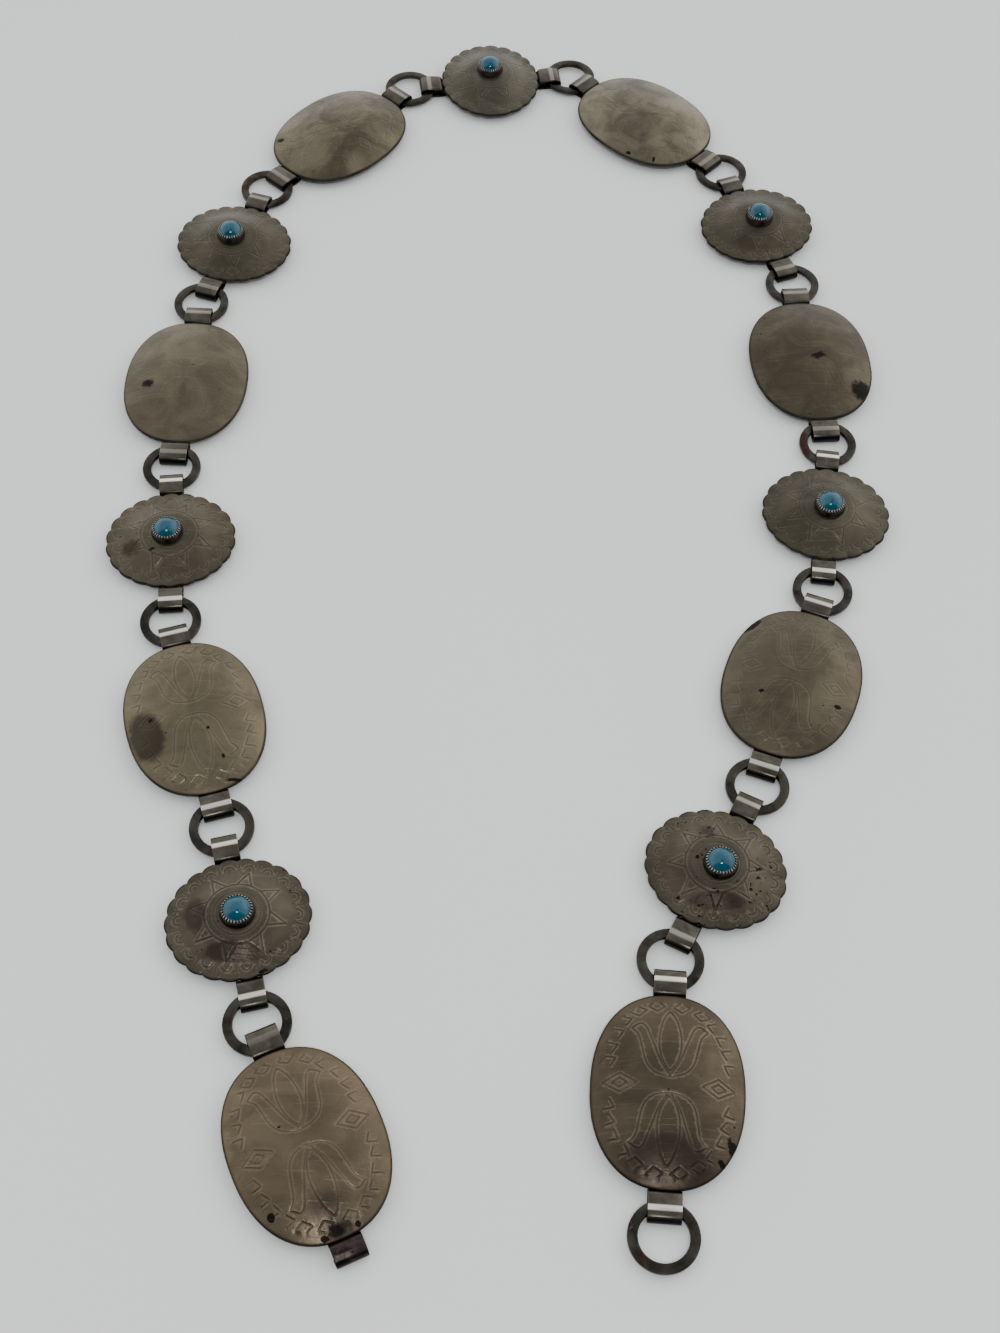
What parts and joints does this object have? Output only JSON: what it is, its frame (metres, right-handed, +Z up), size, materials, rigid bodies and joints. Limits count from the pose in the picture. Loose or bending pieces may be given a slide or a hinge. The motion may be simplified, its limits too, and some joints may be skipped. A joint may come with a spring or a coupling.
{
  "type": "concho belt",
  "caption": "Stamped metal concho belt laid out in an open loop, plain oval and scalloped stone-set discs joined by flat rings, with a ring at one end and a hook at the other.",
  "frame": {"origin": "on the surface that the belt lies on, under the middle of the laid belt's bounding box", "axes": "+Z up from the surface, +Y along the longer side of the laid loop, away from its two free ends, +X to the right, towards the end with the loose ring"},
  "size_m": [0.2152, 0.4012, 0.0103],
  "materials": {
    "concho_metal": "stamped nickel silver, brown-grey tarnish, worn soft on the high spots",
    "ring_metal": "dark tarnished nickel silver with rust-brown spots",
    "turquoise": "polished cabochon, sky blue with paler clouds"
  },
  "bodies": {
    "root": {"end_ring": "ring_metal", "link_ring_1": "ring_metal", "link_ring_2": "ring_metal", "link_ring_3": "ring_metal", "link_ring_4": "ring_metal", "link_ring_5": "ring_metal", "link_ring_6": "ring_metal", "link_ring_7": "ring_metal", "link_ring_8": "ring_metal", "link_ring_9": "ring_metal", "link_ring_10": "ring_metal", "link_ring_11": "ring_metal", "link_ring_12": "ring_metal", "link_ring_13": "ring_metal", "link_ring_14": "ring_metal", "plain_concho_1": "concho_metal", "plain_concho_2": "concho_metal", "plain_concho_3": "concho_metal", "plain_concho_4": "concho_metal", "plain_concho_5": "concho_metal", "plain_concho_6": "concho_metal", "plain_concho_7": "concho_metal", "plain_concho_8": "concho_metal", "scalloped_concho_1": "concho_metal", "scalloped_concho_2": "concho_metal", "scalloped_concho_3": "concho_metal", "scalloped_concho_4": "concho_metal", "scalloped_concho_5": "concho_metal", "scalloped_concho_6": "concho_metal", "scalloped_concho_7": "concho_metal", "turquoise_1": "turquoise", "turquoise_2": "turquoise", "turquoise_3": "turquoise", "turquoise_4": "turquoise", "turquoise_5": "turquoise", "turquoise_6": "turquoise", "turquoise_7": "turquoise"}
  },
  "joints": []
}
